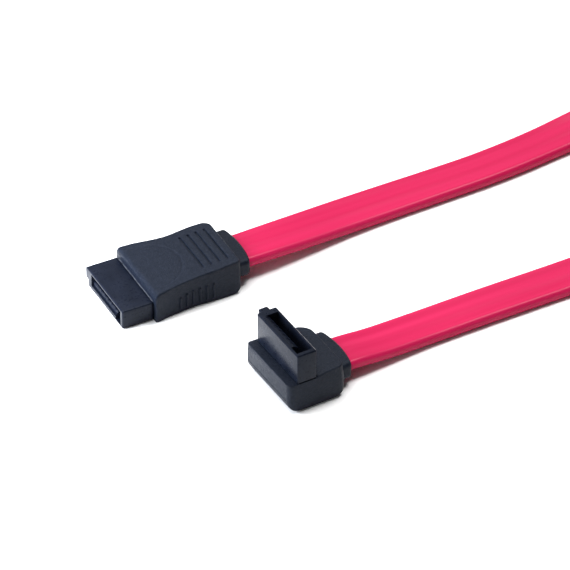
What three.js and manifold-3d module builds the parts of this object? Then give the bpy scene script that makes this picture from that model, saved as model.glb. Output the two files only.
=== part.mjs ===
// Flat data cable with two seven-way plugs: a straight one and a right-angle one.
// Millimetres, +Z up. X runs along the straight plug, from its mating face towards the cable,
// and Y across it. The origin is the middle of the flat underside of the straight plug's boot.
import * as THREE from "three";
import Module from "manifold-3d";
import { mergeVertices } from "three/addons/utils/BufferGeometryUtils.js";

const wasm = await Module();
wasm.setup();

// Driving dimensions: the nose that both plugs share
const noseWidth = 13.1;
const noseThick = 3.6;
const noseLength = 5.7;
const noseCorner = 0.35;
const noseBevel = 0.18;
const ribDepth = 0.88;
const ribThick = 2.35;
const elbowRibThick = 1.75;
const elbowRibInset = 0.72;
const thinWall = 0.42;
const slotHeight = 1.5;
const slotDepth = 4.9;
const nearWall = 0.8;
const farWall = 1.35;
const legWidth = 1.85;
const legFloor = 0.36;
const leadInHeight = 0.8;
const leadInDepth = 0.55;

// Driving dimensions: the foot of the nose inside the boot, and the shelf under the contact tails
const footLength = 1.5;
const footSide = 0.45;
const footLift = 0.4;
const footTop = 0.1;
const shelfReach = 3.4;
const shelfSide = 0.5;
const elbowShelfThick = 0.9;
const elbowShelfReach = 6.4;

// Driving dimensions: the seven contacts
const pinCount = 7;
const pinPitch = 1.27;
const pinCentre = 0.65;
const pinWidth = 0.6;
const pinThick = 0.2;
const pinPlane = 1;
const pinRise = 0.2;
const pinCrown = 1.7;
const pinHeel = 3.4;
const signalTip = 0.75;
const groundTip = 0.5;
const grooveSide = 0.06;
const grooveBelow = 0.15;
const tailLength = 2.6;
const elbowTailReach = 6;

// Driving dimensions: the straight plug's boot
const bootLength = 16.2;
const bootSideWall = 0.95;
const bootWaist = 8.1;
const bootPinch = 1.12;
const bootTaper = 0.3;
const bootTaperLength = 4.05;
const bootRoof = 1.75;
const bootRise = 0.88;
const bootNoseLift = 0.05;
const bootSection = 0.55;
const bootFrontRound = 0.6;
const bootRearCorner = 1.4;
const bootRearHeel = 1.6;
const grooveCount = 4;
const groovePitch = 1.6;
const grooveFromRear = 1.3;
const grooveLength = 8;
const grooveWidth = 0.34;
const grooveDepth = 0.24;
const barCount = 6;
const barPitch = 1.24;
const barFromFront = 4.8;
const barWidth = 0.42;
const barHeight = 2.6;
const barFoot = 0.9;
const barProud = 0.2;
const dishRadius = 5.4;
const dishFromFront = 2.4;
const dishDepth = 0.12;

// Driving dimensions: the right-angle plug's boot, and where that plug lies and points
const elbowX = 1.65;
const elbowY = -31.84;
const elbowTurn = 3.1;
const elbowOverhang = 1.6;
const elbowNearWall = 0.25;
const elbowFarWall = 0.5;
const elbowNearTaper = 0.1;
const elbowFarTaper = 0.85;
const elbowLength = 10.4;
const elbowHeight = 5.6;
const elbowStep = 0.2;
const elbowStepLength = 0.1;
const elbowRise = 0.45;
const elbowNoseGap = 0.15;
const elbowSection = 0.6;
const elbowFrontCorner = 1.2;
const elbowToe = 2.1;
const elbowNearCorner = 1;
const elbowFarCorner = 2.6;
const elbowHeel = 1.8;

// Driving dimensions: the cable, the collars it leaves by, its cores and the moulded blocks
const cableWidth = 7.8;
const cableThick = 1.9;
const cableRound = 0.85;
const cableHeight = 3;
const elbowCableHeight = 2.5;
const collarLength = 3;
const collarWall = 1.1;
const collarSkin = 0.75;
const collarRound = 0.5;
const collarSection = 1;
const collarBow = 0.7;
const collarStart = 0.1;
const jacketStart = 4;
const elbowJacketStart = 7.9;
const coreDiameter = 0.95;
const coreLength = 4.6;
const elbowCoreLength = 1.7;
const pairCentre = 1.9;
const coreSpacing = 1.1;
const drainOut = 3.25;
const wireDiameter = 0.34;
const wireStart = 1.9;
const wireLand = 0.9;
const wireIntoCore = 1.2;
const wireBend = 0.4;
const wireGap = 0.08;
const blockSide = 0.86;
const blockFarSide = 0.22;
const blockFloor = 0.5;
const blockRoof = 0.5;
const blockBehind = 1.3;
const elbowBlockFloor = 1;
const elbowBlockBehind = 0.5;

// Clearances between pieces, and how far joined solids run into each other
const fit = 0.05;
const cableGap = 0.25;
const overlap = 0.4;

// Driving dimensions: the tie round the two runs of the stored loop
const tieX = 141.5;
const tieY = -10;
const tieWidth = 3;
const tieThick = 0.95;
const tieRunGap = 0.6;
const tieHeadLength = 4.6;
const tieHeadHeight = 4.2;
const tieHeadDepth = 3;

// Turns and steps that the round forms are drawn with
const cornerSteps = 3;
const coreSides = 12;
const wireSides = 8;
const wireSteps = 8;
const dishSides = 40;
const cableSteps = 78;
const cableCornerSteps = 2;
const routeDivisions = 4000;
const roundedShares = [0, 0.08, 0.4, 1];
const mergeReach = 1e-5;

// Colours and finishes
const finish = {
  boot: new THREE.MeshStandardMaterial({ color: "#4a505e", roughness: 0.62, metalness: 0 }),
  nose: new THREE.MeshStandardMaterial({ color: "#434a58", roughness: 0.5, metalness: 0 }),
  block: new THREE.MeshStandardMaterial({ color: "#e9e7df", roughness: 0.55, metalness: 0 }),
  gold: new THREE.MeshStandardMaterial({ color: "#d9b35c", roughness: 0.3, metalness: 1 }),
  tin: new THREE.MeshStandardMaterial({ color: "#c9c6c0", roughness: 0.35, metalness: 1 }),
  core: new THREE.MeshStandardMaterial({ color: "#f2f0ea", roughness: 0.5, metalness: 0 }),
  jacket: new THREE.MeshStandardMaterial({ color: "#ee3a66", roughness: 0.45, metalness: 0 }),
  tie: new THREE.MeshStandardMaterial({ color: "#17181b", roughness: 0.5, metalness: 0 }),
};

// Sizes worked out from the driving dimensions
const noseHalf = noseWidth / 2;
const slotTop = noseThick - thinWall;
const slotFloor = slotTop - slotHeight;
const grooveHalf = pinWidth / 2 + grooveSide;
const pinTop = pinPlane + pinThick / 2;
const pinUnder = pinPlane - pinThick / 2;
const housingEnd = noseLength + footLength;
const pinPlaces = [...Array(pinCount).keys()].map((k) => pinCentre + (k - (pinCount - 1) / 2) * pinPitch);
const shelfNear = pinPlaces[0] - grooveHalf - shelfSide;
const shelfFar = pinPlaces[pinCount - 1] + grooveHalf + shelfSide;
const bootFront = -bootLength / 2;
const bootRear = bootLength / 2;
const noseFront = bootFront - noseLength;
const bootHalf = noseHalf + bootSideWall;
const bootHeight = bootNoseLift + noseThick + bootRoof;
const elbowNear = noseHalf + elbowNearWall;
const elbowFar = noseHalf + elbowFarWall;
const elbowFlat = elbowOverhang + noseThick + elbowNoseGap;
const elbowRear = elbowLength - elbowOverhang;
const elbowTop = elbowHeight + noseLength;
const elbowTailDrop = housingEnd + fit + pinThick / 2;
const collarHalf = cableWidth / 2 + collarWall;
const collarHigh = cableThick / 2 + collarSkin;
const wireRadius = wireDiameter / 2;
const coreRadius = coreDiameter / 2;
const blockNear = pinPlaces[0] - grooveHalf - shelfSide - blockSide;
const blockFar = pinPlaces[pinCount - 1] + grooveHalf + shelfSide + blockFarSide;
const corePlaces = [-1, 1].flatMap((side) => [-1, 1].map((k) => side * pairCentre + (k * coreSpacing) / 2));
const corePins = [1, 2, 4, 5];
const drainPins = [0, 3, 6];
const drainPlaces = [-drainOut, 0, drainOut];
const tieZ = cableWidth / 2 + cableGap + tieThick;

// The cable's route from the straight plug to the right-angle plug, chosen by hand:
// x, y, height of its middle, and its turn on to its edge in degrees
const route = [
  [jacketStart, 0, cableHeight, 0],
  [7.6, 0, cableHeight, 0],
  [11.2, 0, cableHeight, 0],
  [16.2, 0.35, 2.8, 2],
  [22.2, 1.05, 2.3, 4],
  [31.2, 2.2, 1.55, 4],
  [40.2, 2.85, 1.2, 3],
  [49.2, 3.25, 1.08, 1],
  [58.2, 3.65, 1.05, 0],
  [65.2, 4.3, 1.05, 0],
  [71.8, 5.2, 1.05, 0],
  [79, 6.1, 1.35, 4],
  [88, 6.6, 2, 17],
  [98, 5.6, 3, 38],
  [109, 2.4, 3.9, 64],
  [121, -2.8, 4.4, 84],
  [129.5, -7, 4.8, 90],
  [141.5, -8.75, 5.1, 90],
  [153.5, -7.3, 4.8, 90],
  [164.5, -2.6, 4.3, 90],
  [178.5, 5.5, 4.1, 90],
  [192, 13.2, 4.1, 90],
  [205.5, 17, 4.1, 90],
  [219, 13.4, 4.1, 90],
  [228.9, 3.5, 4.1, 90],
  [232.5, -10, 4.1, 90],
  [228.9, -23.5, 4.1, 90],
  [219, -33.4, 4.1, 90],
  [205.5, -37, 4.1, 90],
  [192, -33.2, 4.1, 90],
  [178.5, -25.5, 4.1, 90],
  [164.5, -17.4, 4.3, 90],
  [153.5, -12.7, 4.8, 90],
  [141.5, -11.25, 5.1, 90],
  [127.5, -13.2, 4.7, 88],
  [115, -18.8, 4.2, 70],
  [100, -23.9, 3.3, 44],
  [85.5, -27, 2.25, 20],
  [72, -28.2, 1.45, 5],
  [57.3, -28.7, 1.05, 0],
  [42, -29.15, 1.1, 0],
  [29, -29.75, 1.2, 0],
  [20.4, -30.6, 1.8, 0],
];
const elbowRoute = [13.2, 10.5, elbowJacketStart];

// Geometry helpers
const vector = (x, y, z) => new THREE.Vector3(x, y, z);

function solid(geometry, place) {
  const plain = geometry.index ? geometry.toNonIndexed() : geometry.clone();
  plain.deleteAttribute("normal");
  plain.deleteAttribute("uv");
  if (place) plain.applyMatrix4(place);
  const merged = mergeVertices(plain, mergeReach);
  const mesh = new wasm.Mesh({
    numProp: 3,
    vertProperties: Float32Array.from(merged.attributes.position.array),
    triVerts: Uint32Array.from(merged.index.array),
  });
  mesh.merge();
  return new wasm.Manifold(mesh);
}

function toGeometry(body) {
  const { vertProperties, triVerts } = body.getMesh();
  const geometry = new THREE.BufferGeometry();
  geometry.setAttribute("position", new THREE.BufferAttribute(Float32Array.from(vertProperties), 3));
  geometry.setIndex(new THREE.BufferAttribute(Uint32Array.from(triVerts), 1));
  return geometry;
}

function piece(name, geometry, material) {
  const mesh = new THREE.Mesh(geometry, material);
  mesh.name = name;
  return mesh;
}

// A box given by its lowest and highest corners
function span(x0, x1, y0, y1, z0, z1, place) {
  const box = new THREE.BoxGeometry(x1 - x0, y1 - y0, z1 - z0);
  box.translate((x0 + x1) / 2, (y0 + y1) / 2, (z0 + z1) / 2);
  return solid(box, place);
}

// An outline in Y and Z drawn out along X
function alongX(shape, x0, x1, bevel = 0) {
  const geometry = new THREE.ExtrudeGeometry(shape, {
    depth: x1 - x0 - 2 * bevel,
    curveSegments: cornerSteps,
    bevelEnabled: bevel > 0,
    bevelThickness: bevel,
    bevelSize: bevel,
    bevelOffset: -bevel,
    bevelSegments: 1,
  });
  geometry.applyMatrix4(new THREE.Matrix4().makeBasis(vector(0, 1, 0), vector(0, 0, 1), vector(1, 0, 0)));
  geometry.translate(x0 + bevel, 0, 0);
  return geometry;
}

// An outline in X and Z drawn out along Y
function alongY(points, y0, y1) {
  const shape = new THREE.Shape(points.map(([x, z]) => new THREE.Vector2(x, z)));
  const geometry = new THREE.ExtrudeGeometry(shape, { depth: y1 - y0, bevelEnabled: false });
  geometry.applyMatrix4(new THREE.Matrix4().makeBasis(vector(1, 0, 0), vector(0, 0, 1), vector(0, -1, 0)));
  geometry.translate(0, y1, 0);
  return geometry;
}

// The points of a rounded rectangle, from the low and high limits of its two sides
function roundedPoints(y0, y1, z0, z1, round, steps = cornerSteps) {
  const corners = [[y1 - round, z1 - round], [y0 + round, z1 - round],
    [y0 + round, z0 + round], [y1 - round, z0 + round]];
  return corners.flatMap(([y, z], corner) => [...Array(steps + 1).keys()].map((k) => {
    const angle = (corner + k / steps) * (Math.PI / 2);
    return new THREE.Vector2(y + round * Math.cos(angle), z + round * Math.sin(angle));
  }));
}

function polygonPoints(y, z, radius, sides) {
  return [...Array(sides).keys()].map((k) => {
    const angle = ((k + 0.5) / sides) * Math.PI * 2;
    return new THREE.Vector2(y + radius * Math.cos(angle), z + radius * Math.sin(angle));
  });
}

// A closed body through rings of points, each ring at its own X and bowed back at its sides
function loft(rings) {
  const count = rings[0].points.length;
  const positions = rings.flatMap(({ x, points, bow = 0 }) => points.flatMap(
    (p) => [x - bow * (p.x / collarHalf) ** 2, p.x, p.y]));
  const index = [];
  for (let i = 0; i < rings.length - 1; i += 1) {
    for (let j = 0; j < count; j += 1) {
      const a = i * count + j;
      const b = i * count + ((j + 1) % count);
      index.push(a, b, b + count, a, b + count, a + count);
    }
  }
  const last = (rings.length - 1) * count;
  for (let j = 1; j < count - 1; j += 1) {
    index.push(0, j + 1, j);
    index.push(last, last + j, last + j + 1);
  }
  const geometry = new THREE.BufferGeometry();
  geometry.setAttribute("position", new THREE.Float32BufferAttribute(positions, 3));
  geometry.setIndex(index);
  return solid(geometry);
}

// A thin strip that follows a bent centre line in X and Z, with mitred corners
function strip(points, thick) {
  const side = (sign) => points.map((point, k) => {
    const before = points[Math.max(k - 1, 0)];
    const after = points[Math.min(k + 1, points.length - 1)];
    const into = new THREE.Vector2().subVectors(k > 0 ? point : after, k > 0 ? before : point).normalize();
    const out = new THREE.Vector2().subVectors(k < points.length - 1 ? after : point,
      k < points.length - 1 ? point : before).normalize();
    const mitre = new THREE.Vector2(-into.y - out.y, into.x + out.x).normalize();
    const stretch = mitre.dot(new THREE.Vector2(-into.y, into.x));
    const reach = (sign * thick) / 2 / stretch;
    return [point.x + mitre.x * reach, point.y + mitre.y * reach];
  });
  return [...side(-1), ...side(1).reverse()];
}

// A round wire through a few points, straight between them
function wire(points, radius) {
  const path = new THREE.CatmullRomCurve3(points, false, "catmullrom", 0);
  const section = new THREE.Shape(polygonPoints(0, 0, radius, wireSides));
  return new THREE.ExtrudeGeometry(section, { steps: wireSteps, extrudePath: path, bevelEnabled: false });
}

// How far a rounded end draws its outline in, at a distance from that end
function drawIn(distance, radius) {
  return distance >= radius ? 0 : radius - Math.sqrt(radius ** 2 - (radius - distance) ** 2);
}

// Places along a rounded body: crowded into its two ends, with some between
function placesAlong(length, frontReach, rearReach, between) {
  const front = roundedShares.map((k) => k * frontReach);
  const rear = roundedShares.map((k) => length - k * rearReach).reverse();
  return [...front, ...between, ...rear];
}

// The nose with its key rib, L-shaped slot, contact grooves and foot, in the nose's own frame. The
// straight plug's rib reaches up to the thin wall, and the right-angle plug's stops short of it:
// X is depth from the mating face, Y across with the rib at +Y, Z from the thick wall to the thin one
function noseOutline(elbow) {
  const c = noseCorner;
  const ribLow = elbow ? elbowRibInset : noseThick - ribThick;
  const ribHigh = elbow ? elbowRibInset + elbowRibThick : noseThick;
  const ribEnd = noseHalf + ribDepth;
  const shape = new THREE.Shape();
  shape.moveTo(-noseHalf + c, 0);
  shape.lineTo(noseHalf - c, 0);
  shape.quadraticCurveTo(noseHalf, 0, noseHalf, c);
  shape.lineTo(noseHalf, ribLow);
  shape.lineTo(ribEnd - c, ribLow);
  shape.quadraticCurveTo(ribEnd, ribLow, ribEnd, ribLow + c);
  shape.lineTo(ribEnd, ribHigh - c);
  shape.quadraticCurveTo(ribEnd, ribHigh, ribEnd - c, ribHigh);
  if (ribHigh < noseThick - c) {
    shape.lineTo(noseHalf, ribHigh);
    shape.lineTo(noseHalf, noseThick - c);
    shape.quadraticCurveTo(noseHalf, noseThick, noseHalf - c, noseThick);
  }
  shape.lineTo(-noseHalf + c, noseThick);
  shape.quadraticCurveTo(-noseHalf, noseThick, -noseHalf, noseThick - c);
  shape.lineTo(-noseHalf, c);
  shape.quadraticCurveTo(-noseHalf, 0, -noseHalf + c, 0);
  return shape;
}

function foot(clearance, place) {
  const half = noseHalf - footSide + clearance;
  return span(noseLength - overlap - fit, housingEnd + clearance, -half, half,
    footLift - clearance, noseThick - footTop + clearance, place);
}

function shelf(clearance, elbow, place) {
  const depths = elbow
    ? [housingEnd - elbowShelfThick - clearance, housingEnd + clearance]
    : [housingEnd - overlap, housingEnd + shelfReach + clearance];
  const heights = elbow
    ? [footLift - clearance, elbowShelfReach + clearance]
    : [footLift - clearance, pinUnder - fit + clearance];
  return span(...depths, shelfNear - clearance, shelfFar + clearance, ...heights, place);
}

function housing(elbow) {
  const near = -noseHalf + nearWall;
  const far = noseHalf - farWall;
  let body = solid(alongX(noseOutline(elbow), 0, noseLength - fit, noseBevel));
  body = body.add(foot(0)).add(shelf(0, elbow));
  body = body.subtract(span(-overlap, slotDepth, near, far, slotFloor, slotTop));
  body = body.subtract(span(-overlap, slotDepth, near, near + legWidth, legFloor, slotFloor + overlap));
  const leadIn = [[-overlap, slotFloor - leadInHeight], [0, slotFloor - leadInHeight],
    [leadInDepth, slotFloor], [leadInDepth, slotFloor + overlap], [-overlap, slotFloor + overlap]];
  body = body.subtract(solid(alongY(leadIn, near, far)));
  pinPlaces.forEach((place) => {
    body = body.subtract(span(-overlap, slotDepth, place - grooveHalf, place + grooveHalf,
      pinUnder - grooveBelow, slotFloor + overlap));
    body = body.subtract(span(slotDepth - overlap, housingEnd + overlap, place - grooveHalf,
      place + grooveHalf, pinUnder - fit, pinTop + fit));
  });
  return toGeometry(body);
}

function contact(pin, elbow) {
  const tip = pin % 3 === 0 ? groundTip : signalTip;
  const points = [
    [tip, pinPlane + pinThick / 4],
    [pinCrown, slotFloor + pinRise - pinThick / 2],
    [pinHeel, pinPlane],
  ];
  if (elbow) {
    points.push([elbowTailDrop, pinPlane], [elbowTailDrop, elbowTailReach]);
  } else {
    points.push([housingEnd + tailLength, pinPlane]);
  }
  const line = points.map(([u, w]) => new THREE.Vector2(u, w));
  const half = pinWidth / 2;
  return alongY(strip(line, pinThick), pinPlaces[pin] - half, pinPlaces[pin] + half);
}

function tail(pin, elbow, place) {
  const half = pinWidth / 2 + fit;
  const depths = elbow
    ? [housingEnd - overlap, elbowTailDrop + pinThick / 2 + fit]
    : [housingEnd - overlap, housingEnd + tailLength + fit];
  const heights = elbow ? [pinUnder - fit, elbowTailReach + fit] : [pinUnder - fit, pinTop + fit];
  return span(...depths, pinPlaces[pin] - half, pinPlaces[pin] + half, ...heights, place);
}

// Where a plug's wires and cores run, in the plug's own frame
function wirePoints(layout, pin, across, end, back = 0) {
  const along = layout.wireX;
  return [
    vector(along - back, pinPlaces[pin], layout.wireZ),
    vector(along + wireLand, pinPlaces[pin], layout.wireZ),
    vector(layout.coreX - wireBend, across, layout.cableZ),
    vector(end, across, layout.cableZ),
  ];
}

function core(layout, across, grow = 0) {
  const section = new THREE.Shape(polygonPoints(across, layout.cableZ, coreRadius + grow, coreSides));
  if (grow === 0) {
    section.holes.push(new THREE.Path(polygonPoints(across, layout.cableZ, wireRadius + fit, wireSides)));
  }
  return alongX(section, layout.coreX - grow, layout.jacketX - fit + grow);
}

function block(layout) {
  let body = span(...layout.blockX, blockNear, blockFar, ...layout.blockZ);
  body = body.subtract(shelf(fit, layout.elbow, layout.nosePlace));
  body = body.subtract(foot(fit, layout.nosePlace));
  pinPlaces.forEach((place, pin) => {
    body = body.subtract(tail(pin, layout.elbow, layout.nosePlace));
  });
  corePlaces.forEach((across, k) => {
    const points = wirePoints(layout, corePins[k], across, layout.coreX + wireIntoCore, fit);
    body = body.subtract(solid(wire(points, wireRadius + fit)));
    body = body.subtract(solid(core(layout, across, fit)));
  });
  drainPlaces.forEach((across, k) => {
    const points = wirePoints(layout, drainPins[k], across, layout.jacketX, fit);
    body = body.subtract(solid(wire(points, wireRadius + fit)));
  });
  return toGeometry(body);
}

// The hollow in a boot: the seats of the foot, the shelf and the block, and the cable's way out
function bootHollow(layout, exitX) {
  const [x0, x1] = layout.blockX;
  const [z0, z1] = layout.blockZ;
  const hole = new THREE.Shape(roundedPoints(-cableWidth / 2 - cableGap, cableWidth / 2 + cableGap,
    layout.cableZ - cableThick / 2 - cableGap, layout.cableZ + cableThick / 2 + cableGap,
    cableThick / 2));
  return foot(fit, layout.nosePlace)
    .add(shelf(fit, layout.elbow, layout.nosePlace))
    .add(span(x0 - fit, x1 + fit, blockNear - fit, blockFar + fit, z0 - fit, z1 + fit))
    .add(solid(alongX(hole, x1 - overlap, exitX + overlap)));
}

function collar(x0, x1, middle) {
  const length = x1 - x0;
  const rings = placesAlong(length, collarStart, collarRound, []).map((at) => {
    const inwards = drawIn(length - at, collarRound);
    const half = collarHalf - inwards;
    const high = collarHigh - inwards / 2;
    return { x: x0 + at, bow: (collarBow * at) / length,
      points: roundedPoints(-half, half, middle - high, middle + high, collarSection) };
  });
  return loft(rings);
}

// The straight boot: waisted in plan, rising towards the cable, with grip grooves and side bars
function bootHalfAt(distance) {
  const pinch = bootPinch * Math.min(distance / bootWaist, 1);
  const taper = bootTaper * Math.max(1 - (bootLength - distance) / bootTaperLength, 0);
  return bootHalf - pinch - taper;
}

function bootTopAt(distance) {
  return bootHeight + (bootRise * distance) / bootLength;
}

function straightBoot(layout) {
  const between = [bootWaist / 2, bootWaist, bootLength - bootTaperLength];
  const rings = placesAlong(bootLength, bootFrontRound, bootRearHeel, between).map((at) => {
    const toRear = bootLength - at;
    const half = bootHalfAt(at) - drawIn(at, bootFrontRound) / 2 - drawIn(toRear, bootRearCorner);
    const low = drawIn(toRear, bootRearHeel);
    const high = bootTopAt(at) - drawIn(at, bootFrontRound);
    return { x: bootFront + at, points: roundedPoints(-half, half, low, high, bootSection) };
  });
  let body = loft(rings).add(collar(bootRear - overlap, bootRear + collarLength, cableHeight));
  for (let k = 0; k < barCount; k += 1) {
    const at = barFromFront + k * barPitch;
    const half = bootHalfAt(at);
    const x = bootFront + at;
    [-1, 1].forEach((side) => {
      const edges = [side * (half - overlap), side * (half + barProud)].sort((a, b) => a - b);
      body = body.add(span(x - barWidth / 2, x + barWidth / 2, ...edges, barFoot, barFoot + barHeight));
    });
  }
  for (let k = 0; k < grooveCount; k += 1) {
    const at = bootLength - grooveFromRear - k * groovePitch;
    const x = bootFront + at;
    body = body.subtract(span(x - grooveWidth / 2, x + grooveWidth / 2, -grooveLength / 2, grooveLength / 2,
      bootTopAt(at) - grooveDepth, bootTopAt(at) + overlap));
  }
  const dish = new THREE.CylinderGeometry(dishRadius, dishRadius, overlap, dishSides);
  dish.rotateX(Math.PI / 2);
  dish.rotateY(-Math.atan2(bootRise, bootLength));
  dish.translate(bootFront + dishFromFront, 0, bootTopAt(dishFromFront) - dishDepth + overlap / 2);
  body = body.subtract(solid(dish));
  return toGeometry(body.subtract(bootHollow(layout, bootRear + collarLength)));
}

// The right-angle boot: flat round the foot of the nose, then up a small step and rising to its
// rounded rear, fuller on the near side than on the far one
function elbowTopAt(distance) {
  if (distance <= elbowFlat) return elbowHeight;
  return elbowHeight + elbowStep + (elbowRise * (distance - elbowFlat)) / (elbowLength - elbowFlat);
}

function elbowBoot(layout) {
  const between = [elbowFlat, elbowFlat + elbowStepLength];
  const rings = placesAlong(elbowLength, elbowToe, elbowFarCorner, between).map((at) => {
    const toRear = elbowLength - at;
    const near = elbowNear - (elbowNearTaper * at) / elbowLength
      - drawIn(at, elbowFrontCorner) - drawIn(toRear, elbowNearCorner);
    const far = elbowFar - (elbowFarTaper * at) / elbowLength
      - drawIn(at, elbowFrontCorner) - drawIn(toRear, elbowFarCorner);
    const low = drawIn(at, elbowToe) + drawIn(toRear, elbowHeel);
    return { x: at - elbowOverhang, points: roundedPoints(-near, far, low, elbowTopAt(at), elbowSection) };
  });
  const body = loft(rings).add(collar(elbowRear - elbowHeel, elbowRear + collarLength, elbowCableHeight));
  return toGeometry(body.subtract(bootHollow(layout, elbowRear + collarLength)));
}

// Both plugs' layouts, each in its own frame
const straightPlace = new THREE.Matrix4().makeTranslation(noseFront, 0, bootNoseLift);
const elbowPlace = new THREE.Matrix4().makeRotationY(Math.PI / 2).setPosition(0, 0, elbowTop);
const straightLayout = {
  elbow: false,
  nosePlace: straightPlace,
  boot: straightBoot,
  cableZ: cableHeight,
  jacketX: jacketStart,
  coreX: jacketStart - coreLength,
  wireX: noseFront + housingEnd + tailLength - wireStart,
  wireZ: bootNoseLift + pinTop + wireRadius + wireGap,
  blockX: [noseFront + housingEnd + fit, jacketStart - blockBehind],
  blockZ: [blockFloor, cableHeight + coreRadius + blockRoof],
};
const elbowLayout = {
  elbow: true,
  nosePlace: elbowPlace,
  boot: elbowBoot,
  cableZ: elbowCableHeight,
  jacketX: elbowJacketStart,
  coreX: elbowJacketStart - elbowCoreLength,
  wireX: elbowTailReach - wireStart,
  wireZ: elbowTop - elbowTailDrop - pinThick / 2 - wireRadius - wireGap,
  blockX: [footLift, elbowJacketStart - elbowBlockBehind],
  blockZ: [elbowBlockFloor, elbowTop - housingEnd - fit],
};

function plug(name, layout) {
  const group = new THREE.Group();
  const nose = new THREE.Group();
  nose.applyMatrix4(layout.nosePlace);
  nose.add(piece(`${name}_housing`, housing(layout.elbow), finish.nose));
  pinPlaces.forEach((place, pin) => {
    nose.add(piece(`${name}_contact_${pin + 1}`, contact(pin, layout.elbow), finish.gold));
  });
  group.add(nose);
  group.add(piece(`${name}_boot`, layout.boot(layout), finish.boot));
  group.add(piece(`${name}_inner_mould`, block(layout), finish.block));
  corePlaces.forEach((across, k) => {
    const points = wirePoints(layout, corePins[k], across, layout.coreX + wireIntoCore);
    group.add(piece(`${name}_wire_${k + 1}`, wire(points, wireRadius), finish.tin));
    group.add(piece(`${name}_core_${k + 1}`, core(layout, across), finish.core));
  });
  drainPlaces.forEach((across, k) => {
    const points = wirePoints(layout, drainPins[k], across, layout.jacketX - fit);
    group.add(piece(`${name}_drain_${k + 1}`, wire(points, wireRadius), finish.tin));
  });
  return group;
}

// The flat jacket, drawn out straight and then carried along the route
function elbowPoint(along) {
  const turn = THREE.MathUtils.degToRad(elbowTurn);
  return [elbowX + along * Math.cos(turn), elbowY + along * Math.sin(turn), elbowCableHeight, 0];
}

function jacket() {
  const stops = [...route, ...elbowRoute.map(elbowPoint)];
  const curve = new THREE.CatmullRomCurve3(stops.map(([x, y, z]) => vector(x, y, z)), false, "centripetal");
  curve.arcLengthDivisions = routeDivisions;
  const length = curve.getLength();
  const half = cableWidth / 2;
  const thick = cableThick / 2;
  const section = new THREE.Shape(roundedPoints(-half, half, -thick, thick, cableRound, cableCornerSteps));
  const geometry = new THREE.ExtrudeGeometry(section, {
    depth: length,
    steps: cableSteps,
    bevelEnabled: false,
  });
  const places = geometry.attributes.position;
  for (let k = 0; k < places.count; k += 1) {
    const share = THREE.MathUtils.clamp(places.getZ(k) / length, 0, 1);
    const stop = curve.getUtoTmapping(share) * (stops.length - 1);
    const before = Math.min(Math.floor(stop), stops.length - 2);
    const turn = THREE.MathUtils.degToRad(
      THREE.MathUtils.lerp(stops[before][3], stops[before + 1][3], stop - before));
    const tangent = curve.getTangentAt(share);
    const side = vector(0, 0, 1).cross(tangent).normalize();
    const up = tangent.clone().cross(side);
    const across = side.clone().multiplyScalar(Math.cos(turn)).addScaledVector(up, Math.sin(turn));
    const outward = up.clone().multiplyScalar(Math.cos(turn)).addScaledVector(side, -Math.sin(turn));
    const point = curve.getPointAt(share)
      .addScaledVector(across, places.getX(k))
      .addScaledVector(outward, places.getY(k));
    places.setXYZ(k, point.x, point.y, point.z);
  }
  geometry.deleteAttribute("normal");
  geometry.deleteAttribute("uv");
  return mergeVertices(geometry, mergeReach);
}

// The tie: a strap round both runs of the stored loop, with its head on one side
function tie() {
  const halfY = cableThick + tieRunGap / 2 + cableGap;
  const halfZ = cableWidth / 2 + cableGap;
  const strap = new THREE.Shape(roundedPoints(-halfY - tieThick, halfY + tieThick,
    -halfZ - tieThick, halfZ + tieThick, tieThick + cableGap));
  strap.holes.push(new THREE.Path(roundedPoints(-halfY, halfY, -halfZ, halfZ, cableGap)));
  const headInner = halfY + tieThick / 2;
  return solid(alongX(strap, -tieWidth / 2, tieWidth / 2))
    .add(span(-tieHeadLength / 2, tieHeadLength / 2, -headInner - tieHeadDepth, -headInner,
      -tieHeadHeight / 2, tieHeadHeight / 2));
}

const cable = new THREE.Group();
cable.add(plug("straight", straightLayout));

const elbow = plug("angle", elbowLayout);
elbow.position.set(elbowX, elbowY, 0);
elbow.rotation.z = THREE.MathUtils.degToRad(elbowTurn);
cable.add(elbow);

cable.add(piece("cable_jacket", jacket(), finish.jacket));

const loopTie = piece("cable_tie", toGeometry(tie()), finish.tie);
loopTie.position.set(tieX, tieY, tieZ);
cable.add(loopTie);

export default cable;
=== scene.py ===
import math

import bmesh
import bpy
import numpy as np
from mathutils import Matrix, Vector


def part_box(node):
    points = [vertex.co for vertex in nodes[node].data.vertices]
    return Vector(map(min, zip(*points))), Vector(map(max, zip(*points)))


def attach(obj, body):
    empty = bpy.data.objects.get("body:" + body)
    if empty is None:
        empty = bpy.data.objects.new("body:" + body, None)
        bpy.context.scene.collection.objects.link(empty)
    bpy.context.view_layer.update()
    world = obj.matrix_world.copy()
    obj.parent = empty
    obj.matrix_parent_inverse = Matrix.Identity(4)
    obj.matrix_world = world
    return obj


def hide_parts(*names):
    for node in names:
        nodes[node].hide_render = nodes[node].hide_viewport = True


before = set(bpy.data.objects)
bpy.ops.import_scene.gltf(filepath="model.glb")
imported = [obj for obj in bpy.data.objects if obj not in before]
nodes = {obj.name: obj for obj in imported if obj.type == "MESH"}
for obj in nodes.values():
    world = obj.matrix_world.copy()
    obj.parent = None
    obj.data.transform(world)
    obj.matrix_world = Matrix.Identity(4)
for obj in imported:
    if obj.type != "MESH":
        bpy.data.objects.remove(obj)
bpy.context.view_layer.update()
scene = bpy.context.scene

MM = 0.001

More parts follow.
